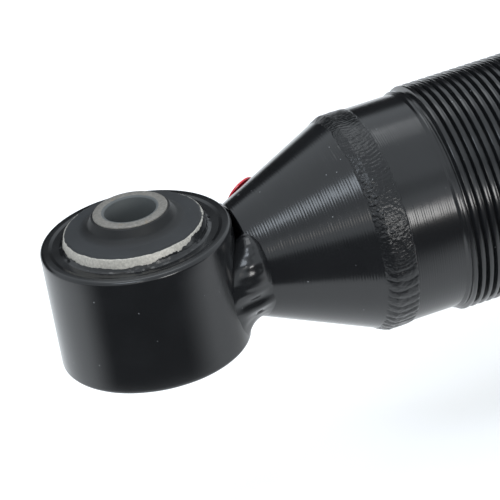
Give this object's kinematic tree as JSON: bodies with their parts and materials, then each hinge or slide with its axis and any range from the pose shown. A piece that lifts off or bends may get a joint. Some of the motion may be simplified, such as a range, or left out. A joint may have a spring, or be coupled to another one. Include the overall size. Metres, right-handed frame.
{
  "type": "coil-over rear shock absorber",
  "caption": "Adjustable coil-over rear shock: monotube damper with a bushed lower eye, threaded body, coil spring and ball-jointed top mount plate.",
  "frame": {"origin": "centre of the lower eye's bolt bore", "axes": "+X along the shock from the lower eye to the top mount, +Z along the lower eye's bolt bore"},
  "size_m": [0.4465, 0.1056, 0.105],
  "materials": {
    "black_paint": "gloss black stove paint over turned steel",
    "bush_rubber": "matte moulded rubber",
    "bare_steel": "bare turned steel",
    "red_plastic": "glossy moulded plastic",
    "red_powder_coat": "gloss powder coat on spring steel",
    "hard_chrome": "ground and hard-chromed",
    "black_anodised": "satin black anodised, machined",
    "plain_aluminium": "machined aluminium",
    "zinc_plate": "bright zinc plate",
    "black_oxide": "oiled black oxide",
    "seal_rubber": "nitrile rubber",
    "slide_bronze": "bronze-backed slide lining",
    "ptfe_band": "filled PTFE",
    "foam_stop": "cellular polyurethane",
    "spring_steel": "blued spring steel"
  },
  "bodies": {
    "damper_body": {"lower_eye": "black_paint", "bush_outer_shell": "bare_steel", "bush_rubber": "bush_rubber", "lower_cone": "black_paint", "charge_port_screw": "black_oxide", "charge_port_cap": "red_plastic", "nose_weld": "black_paint", "cone_weld": "black_paint", "damper_tube": "black_paint", "rod_guide": "plain_aluminium", "guide_bush": "slide_bronze", "rod_seal": "seal_rubber", "guide_o_ring": "seal_rubber", "head_snap_ring": "spring_steel", "tube_cap": "black_anodised", "rod_wiper": "seal_rubber"},
    "bush_sleeve": {"bush_inner_sleeve": "bare_steel"},
    "gas_piston": {"floating_piston": "plain_aluminium", "floating_o_ring": "seal_rubber"},
    "spring_base": {"lower_spring_pad": "seal_rubber", "coil_spring": "red_powder_coat"},
    "spring_collar": {"spring_perch": "black_anodised", "lock_ring": "black_anodised", "lock_screw": "black_oxide"},
    "piston_guide": {"piston_band": "ptfe_band"},
    "rod": {"piston": "plain_aluminium", "rebound_shims": "spring_steel", "compression_shims": "spring_steel", "piston_rod": "hard_chrome", "top_out_plate": "spring_steel", "top_out_bumper": "seal_rubber", "piston_nut": "zinc_plate", "upper_spring_seat": "black_anodised", "upper_spring_pad": "seal_rubber", "bump_cup": "zinc_plate", "bump_stop": "foam_stop", "joint_ball": "hard_chrome", "lower_spacer": "zinc_plate", "upper_spacer": "zinc_plate", "top_washer": "zinc_plate", "top_nut": "zinc_plate"},
    "ball_liner": {"joint_liner": "ptfe_band"},
    "top_mount": {"joint_race": "bare_steel", "top_mount_plate": "black_anodised", "mount_studs": "zinc_plate", "race_snap_ring": "spring_steel"}
  },
  "joints": [
    {"name": "rod_slide", "type": "slide", "parent": "damper_body", "child": "piston_guide", "axis": [-1, 0, 0], "range_m": [0, 0.085], "stiffness_N_per_m": 50000, "springref_m": -0.004, "deforming": ["coil_spring"]},
    {"name": "rod_turn", "type": "hinge", "parent": "piston_guide", "child": "rod", "pos_m": [0.2, 0, 0], "axis": [1, 0, 0], "continuous": true},
    {"name": "mount_tilt_y", "type": "hinge", "parent": "rod", "child": "ball_liner", "pos_m": [0.395, 0, 0], "axis": [0, 1, 0], "range_deg": [-8, 8]},
    {"name": "mount_tilt_z", "type": "hinge", "parent": "ball_liner", "child": "top_mount", "pos_m": [0.395, 0, 0], "axis": [0, 0, 1], "range_deg": [-8, 8]},
    {"name": "gas_piston_slide", "type": "slide", "parent": "damper_body", "child": "gas_piston", "axis": [-1, 0, 0], "range_m": [0, 0.0079]},
    {"name": "perch_slide", "type": "slide", "parent": "damper_body", "child": "spring_base", "axis": [1, 0, 0], "range_m": [-0.06, 0]},
    {"name": "perch_turn", "type": "hinge", "parent": "spring_base", "child": "spring_collar", "pos_m": [0.17, 0, 0], "axis": [1, 0, 0], "range_deg": [-10801, 0]},
    {"name": "lower_bush_twist", "type": "hinge", "parent": "damper_body", "child": "bush_sleeve", "pos_m": [0, 0, 0], "axis": [0, 0, 1], "range_deg": [-20, 20], "stiffness_Nm_per_rad": 30}
  ],
  "couplings": [
    {"joint": "gas_piston_slide", "follows": "rod_slide", "ratio": 0.092628},
    {"joint": "perch_turn", "follows": "perch_slide", "rad_per_m": 3141.6}
  ]
}
